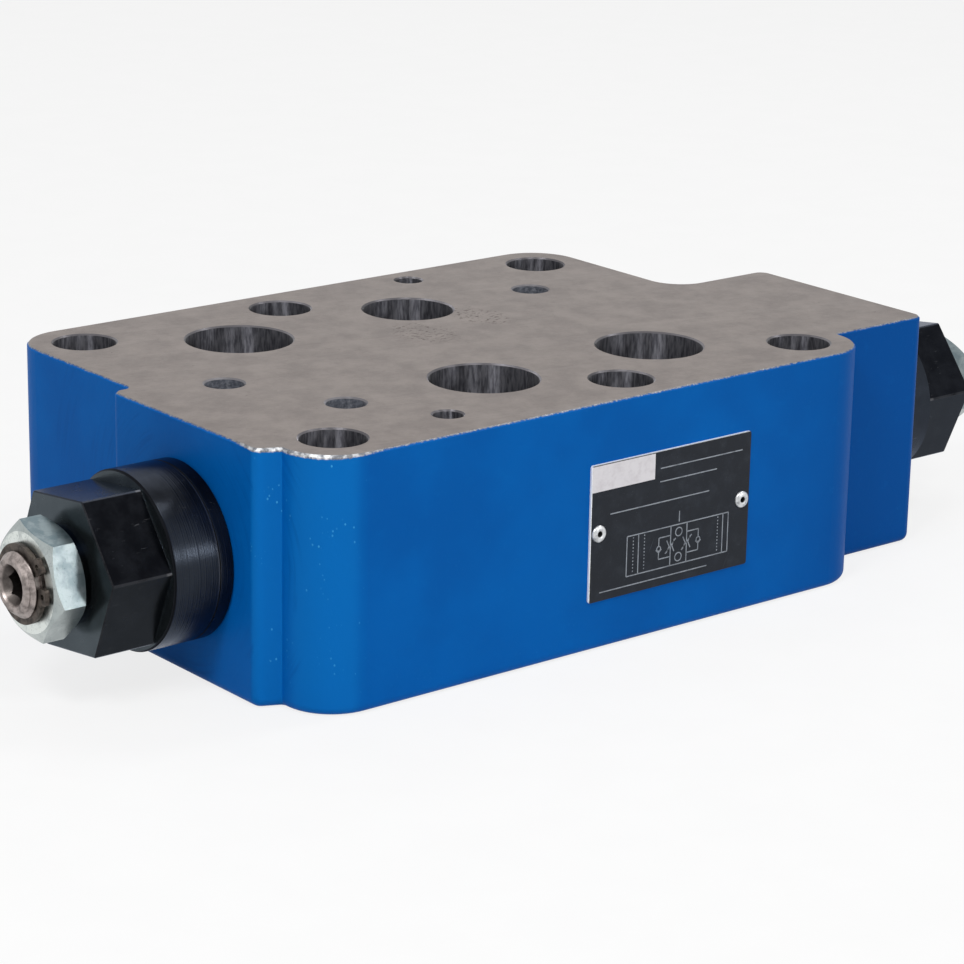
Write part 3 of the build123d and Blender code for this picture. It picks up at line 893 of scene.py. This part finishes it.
def springPiece(side):
    look = springLook
    out = sides[side]
    node = side + "_spool_spring"
    low, high = (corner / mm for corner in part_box(node))
    steps = look["turns"] * look["stepsPerTurn"]
    count = look["wireSides"]
    length = high.x - low.x - 2 * look["wireRadius"]
    innerEnd = low.x if out > 0 else -high.x
    firstDepth = tipX[side] * out - innerEnd - look["wireRadius"]
    rise = length / steps
    run = 2 * math.pi * look["coilRadius"] / look["stepsPerTurn"]
    lean = math.atan2(rise, run)
    points = []
    faces = ringFaces(count, steps + 1)
    for step in range(steps + 1):
        angle = 2 * math.pi * step / look["stepsPerTurn"]
        for index in range(count):
            turn = 2 * math.pi * index / count
            radius = look["coilRadius"] + look["wireRadius"] * math.cos(turn)
            aside = look["wireRadius"] * math.sin(turn)
            shift = aside * math.sin(lean) / look["coilRadius"]
            depth = firstDepth - step * rise - aside * math.cos(lean)
            points.append(onAxis(side, radius, angle - shift, depth))
    faces.append(tuple(range(count)))
    faces.append(tuple(steps * count + index for index in reversed(range(count))))
    slot = "spring_steel"
    piece = addPiece(side + "_coil_spring", points, faces, finishes[slot], side + "_spindle")
    cleanMesh(piece)
    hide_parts(node)
    lift = next(joint for joint in frame["joints"] if joint["name"] == side + "_spool_lift")
    keep = 1 - lift["range_m"][1] / ((high.x - low.x) * mm)
    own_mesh(piece)


for side in sides:
    springPiece(side)
print("springs")


# Printing on the nameplate: blank fields and plain lines

printLook = {        # places in millimetres from the plate's lower left corner
    "proud": 0.03,
    "sunk": 0.1,
    "lineWidth": 0.24,
    "whiteBlock": (0.25, 24.5, 17.9, 30.2),        # left, bottom, right, top
    "fieldLines": (        # left, height, right
        (19.5, 26.6, 43.5),
        (19.5, 23.6, 36.0),
        (5.5, 19.0, 34.0),
        (3.0, 1.9, 34.0),
    ),
    "frame": (10.5, 4.0, 40.0, 13.0),
    "frameBars": (13.8, 38.4),
    "dottedBars": (12.3, 15.5, 36.9),
    "dotStep": 0.75,
    "dotShare": 0.4,
    "valvesAt": ((23.1, -1), (27.8, 1)),           # place of the line, and the side of its by-pass
    "ringsAt": ((25.45, 11.3), (25.45, 5.6)),
    "ringRadius": 0.95,
    "ringSides": 20,
    "tick": (0.6, 3.0),        # the short line above the frame
}


def addPrint(name, shapes, material):        # each shape is a flat outline, given a little thickness
    points = []
    faces = []
    front = plateLow.y / mm - printLook["proud"]
    back = plateLow.y / mm + printLook["sunk"]
    for outline in shapes:
        start = len(points)
        count = len(outline)
        for level in (front, back):
            for u, v in outline:
                points.append(((plateLow.x / mm + u) * mm, level * mm, (plateLow.z / mm + v) * mm))
        faces.append(tuple(start + index for index in range(count)))
        faces.append(tuple(start + count + index for index in reversed(range(count))))
        for index in range(count):
            after = (index + 1) % count
            faces.append((start + after, start + index, start + count + index, start + count + after))
    piece = addPiece(name, points, faces, material, "housing", smooth=False)
    cleanMesh(piece)


def bar(left, bottom, right, top):
    return [(left, bottom), (right, bottom), (right, top), (left, top)]


def stroke(u0, v0, u1, v1):        # one straight line of the printed width
    half = printLook["lineWidth"] / 2
    length = math.hypot(u1 - u0, v1 - v0)
    du = (v1 - v0) / length * half
    dv = (u1 - u0) / length * half
    return [(u0 - du, v0 + dv), (u0 + du, v0 - dv), (u1 + du, v1 - dv), (u1 - du, v1 + dv)]


def printedRing(u, v, radius):
    count = printLook["ringSides"]
    turns = [2 * math.pi * index / count for index in range(count + 1)]
    places = [(u + radius * math.cos(turn), v + radius * math.sin(turn)) for turn in turns]
    return [stroke(*first, *second) for first, second in zip(places, places[1:])]


symbolLook = {        # mm from the middle of the symbol's line
    "bypass": 3.4,
    "branch": 2.4,
    "mouthHalf": 1.1,          # the restriction, from its mouths to its throat
    "mouthReach": 1.4,
    "throatHalf": 0.4,
    "arrow": 1.5,
    "ballGap": 0.6,
    "ballRadius": 0.55,
    "seatTip": 0.9,
    "seatTop": 0.2,
    "seatHalf": 0.8,
}


def throttleSymbol(u, way):        # a restriction with its arrow, and a check valve on a by-pass
    look = symbolLook
    bottom, top = printLook["frame"][1], printLook["frame"][3]
    middle = (bottom + top) / 2
    aside = u + way * look["bypass"]
    branch, mouth, throat = look["branch"], look["mouthHalf"], look["throatHalf"]
    reach, arrow, seat = look["mouthReach"], look["arrow"], look["seatHalf"]
    seatTop, seatTip = middle - look["seatTop"], middle - look["seatTip"]
    lines = [stroke(u, bottom, u, top)]
    for side in (-1, 1):
        lines.append(stroke(u + side * mouth, middle + reach, u + side * throat, middle))
        lines.append(stroke(u + side * throat, middle, u + side * mouth, middle - reach))
    lines.append(stroke(u - arrow, middle - arrow, u + arrow, middle + arrow))
    lines.append(stroke(u, middle + branch, aside, middle + branch))
    lines.append(stroke(u, middle - branch, aside, middle - branch))
    lines.append(stroke(aside, middle + branch, aside, middle + look["ballGap"]))
    lines.append(stroke(aside, middle - branch, aside, seatTip))
    lines.append(stroke(aside - seat, seatTop, aside, seatTip))
    lines.append(stroke(aside + seat, seatTop, aside, seatTip))
    return lines + printedRing(aside, middle, look["ballRadius"])


def printedLines():
    left, bottom, right, top = printLook["frame"]
    tickPlace = printLook["ringsAt"][0][0]
    tickLow, tickHigh = printLook["tick"]
    lines = [
        stroke(left, bottom, right, bottom),
        stroke(right, bottom, right, top),
        stroke(right, top, left, top),
        stroke(left, top, left, bottom),
        stroke(tickPlace, top + tickLow, tickPlace, top + tickHigh),
    ]
    for place in printLook["frameBars"]:
        lines.append(stroke(place, bottom, place, top))
    for place in printLook["dottedBars"]:
        count = int((top - bottom) / printLook["dotStep"])
        for index in range(1, count):
            height = bottom + index * printLook["dotStep"]
            dotEnd = height + printLook["dotStep"] * printLook["dotShare"]
            lines.append(stroke(place, height, place, dotEnd))
    for place, way in printLook["valvesAt"]:
        lines += throttleSymbol(place, way)
    for u, v in printLook["ringsAt"]:
        lines += printedRing(u, v, printLook["ringRadius"])
    for start, height, end in printLook["fieldLines"]:
        lines.append(stroke(start, height, end, height))
    return lines


whitePrint = printFinish("whitePrint", plateLook["printWhite"], plateLook["printDirt"])
greyPrint = printFinish("greyPrint", plateLook["printGrey"], plateLook["worn"])
addPrint("plate_white_field", [bar(*printLook["whiteBlock"])], whitePrint)
addPrint("plate_lines", printedLines(), greyPrint)
print("nameplate printing")


# Floor, light and camera

studioLook = {
    "floorHalf": 3.0,          # metres
    "floorGreys": (0.8, 0.84),
    "floorGrain": 60.0,
    "floorWhite": 0.8,         # share of plain white in the floor, as the camera and reflections see it
    "worldLevel": 0.36,
    "lamps": (        # name, degrees round from the front, height in degrees, distance, size, watts
        ("rightKey", -13.0, 50.0, 1.05, 0.24, 2.2),
        ("leftKey", -63.0, 48.0, 0.9, 0.22, 2.8),
        ("lowGlint", 26.0, 11.4, 0.97, 0.12, 0.9),
        ("highGlint", 77.0, 51.0, 1.0, 0.14, 1.6),
        ("backFill", 150.0, 55.0, 1.3, 0.8, 2.2),
    ),
    "aim": (-0.01, -0.01, 0.03),
}
white = (1.0, 1.0, 1.0, 1.0)


def stageFloor():
    half = studioLook["floorHalf"]
    mesh = bpy.data.meshes.new("studioFloor")
    corners = [(-half, -half, 0), (half, -half, 0), (half, half, 0), (-half, half, 0)]
    mesh.from_pydata(corners, [], [(0, 1, 2, 3)])
    floor = bpy.data.objects.new("studioFloor", mesh)
    bpy.context.scene.collection.objects.link(floor)
    material = bpy.data.materials.new("paleFloor")
    material.use_nodes = True
    g = Graph(material.node_tree)
    place = g.node("ShaderNodeTexCoord", None, None, "Object")
    grain = g.noise(g.scaled(place, (studioLook["floorGrain"],) * 3), 1.0)
    greys = [(level, level, level, 1.0) for level in studioLook["floorGreys"]]
    colour = g.blend(g.step(grain, 0.3, 0.7), *greys)
    matt = g.node("ShaderNodeBsdfDiffuse", None, {"Color": colour})
    bright = g.node("ShaderNodeEmission", None, {"Color": white, "Strength": 1.0})
    seen, mirrored = g.node("ShaderNodeLightPath").others("Is Camera Ray", "Is Glossy Ray")
    factor = seen.atLeast(mirrored) * studioLook["floorWhite"]
    mixed = g.node("ShaderNodeMixShader", None, {0: factor, 1: matt, 2: bright})
    g.node("ShaderNodeOutputMaterial", None, {"Surface": mixed})
    mesh.materials.append(material)


def aimedAt(place, target):
    back = (place - target).normalized()
    return back.to_track_quat("Z", "Y").to_matrix().to_4x4()


def studioLights():
    target = Vector(studioLook["aim"])
    for name, around, height, distance, size, watts in studioLook["lamps"]:
        turn = math.radians(around)
        rise = math.radians(height)
        away = Vector((math.sin(turn) * math.cos(rise), -math.cos(turn) * math.cos(rise), math.sin(rise)))
        place = target + away * distance
        lamp = bpy.data.lights.new(name, "AREA")
        lamp.shape = "SQUARE"
        lamp.size = size
        lamp.energy = watts
        holder = bpy.data.objects.new(name, lamp)
        holder.matrix_world = Matrix.Translation(place) @ aimedAt(place, target)
        bpy.context.scene.collection.objects.link(holder)
    world = bpy.data.worlds.new("studioWorld")
    bpy.context.scene.world = world
    world.use_nodes = True
    g = Graph(world.node_tree)
    names = ("Is Camera Ray", "Is Glossy Ray", "Is Transmission Ray")
    seen, mirrored, through = g.node("ShaderNodeLightPath").others(*names)
    level = studioLook["worldLevel"]
    strength = seen.atLeast(mirrored).atLeast(through) * (1 - level) + level
    sky = g.node("ShaderNodeBackground", None, {"Color": white, "Strength": strength})
    g.node("ShaderNodeOutputWorld", None, {"Surface": sky})


cameraLook = {
    "azimuth": -39.448,        # degrees, 0 looks along +Y
    "elevation": 17.197,
    "roll": 1.074,
    "across": -8.361,          # where the point above the origin sits in the view, mm
    "upward": 31.223,
    "distance": 716.41,
    "focus": 3213.2,           # focal length in pixels of the 964 pixel frame
    "frame": 964,
    "sensor": 36.0,
    "clip": (0.01, 20.0),      # metres
    "originHeight": 55.0,
}


def placeCamera():
    look = cameraLook
    azimuth, elevation, roll = (math.radians(look[key]) for key in ("azimuth", "elevation", "roll"))
    level = Vector((math.sin(azimuth), -math.cos(azimuth), 0))
    back = level * math.cos(elevation) + Vector((0, 0, math.sin(elevation)))
    right = Vector((math.cos(azimuth), math.sin(azimuth), 0))
    up = back.cross(right)
    turnedRight = right * math.cos(roll) + up * math.sin(roll)
    turnedUp = up * math.cos(roll) - right * math.sin(roll)
    origin = Vector((0, 0, look["originHeight"]))
    place = origin - turnedRight * look["across"] - turnedUp * look["upward"] + back * look["distance"]
    camera = bpy.data.cameras.new("studioCamera")
    camera.sensor_width = look["sensor"]
    camera.lens = look["focus"] * look["sensor"] / look["frame"]
    camera.clip_start, camera.clip_end = look["clip"]
    holder = bpy.data.objects.new("studioCamera", camera)
    turn = Matrix((turnedRight, turnedUp, back)).transposed().to_4x4()
    holder.matrix_world = Matrix.Translation(place * mm) @ turn
    bpy.context.scene.collection.objects.link(holder)
    bpy.context.scene.camera = holder


stageFloor()
studioLights()
placeCamera()
bpy.context.scene.view_settings.view_transform = "Standard"
print("studio")
